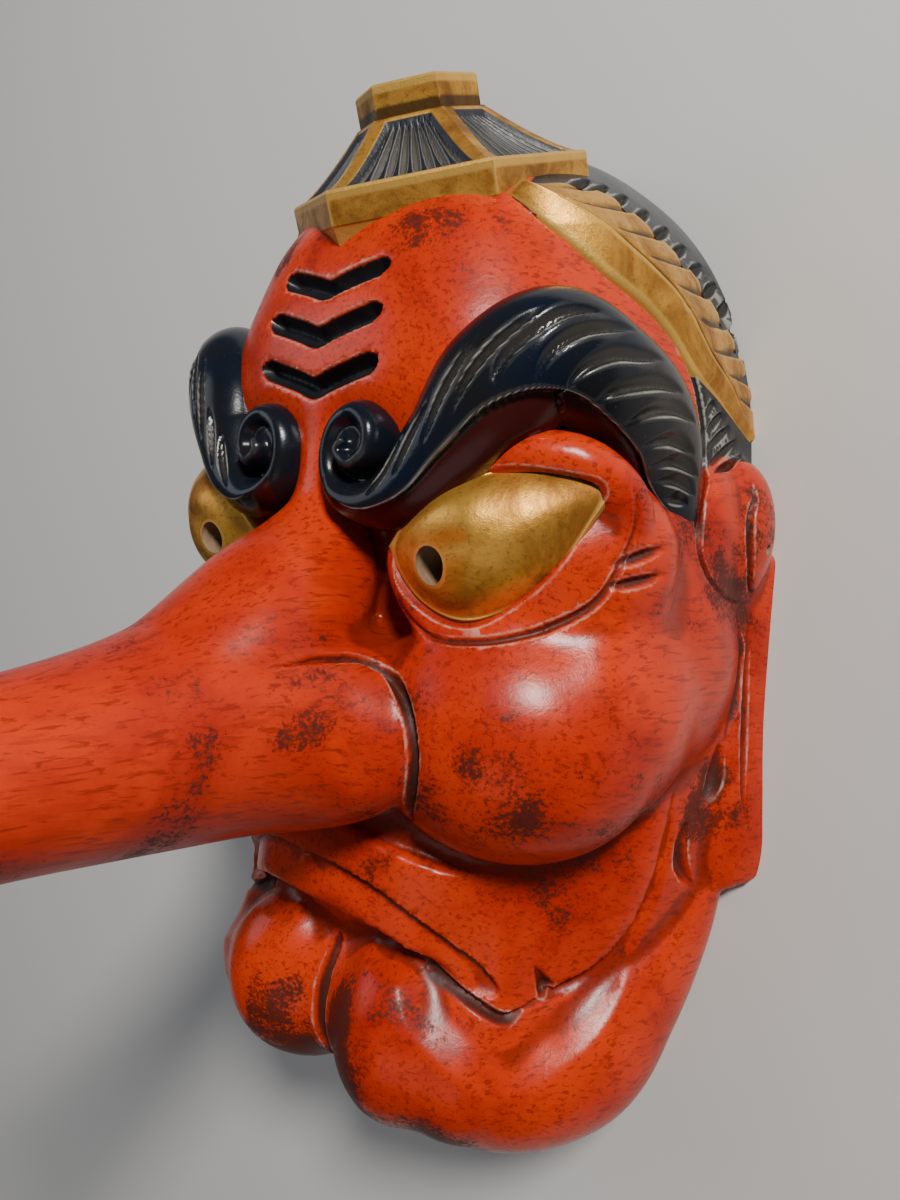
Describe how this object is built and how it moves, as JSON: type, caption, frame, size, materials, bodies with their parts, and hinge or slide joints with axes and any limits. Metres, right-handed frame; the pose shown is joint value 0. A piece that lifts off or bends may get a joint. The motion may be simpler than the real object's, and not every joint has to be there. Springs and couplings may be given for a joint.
{
  "type": "carved tengu mask",
  "caption": "Hollow carved and lacquered wooden tengu mask with a very long nose, heavy brows, bulging pierced eyes and a small pleated cap; lies or hangs on its flat back rim.",
  "frame": {"origin": "Middle of the flat back rim's plane, under the middle of the mask's width and height.", "axes": "+X towards the face's own left cheek, +Y from the chin to the crown, +Z out of the back rim, the way the nose points."},
  "size_m": [0.193, 0.3137, 0.2956],
  "materials": {
    "red_lacquered_wood": "vermilion lacquer on carved wood, rubbed brown-black; brows and hair blue-black, eyes, cap and feathers dull gold"
  },
  "bodies": {
    "root": {"mask": "red_lacquered_wood"}
  },
  "joints": []
}
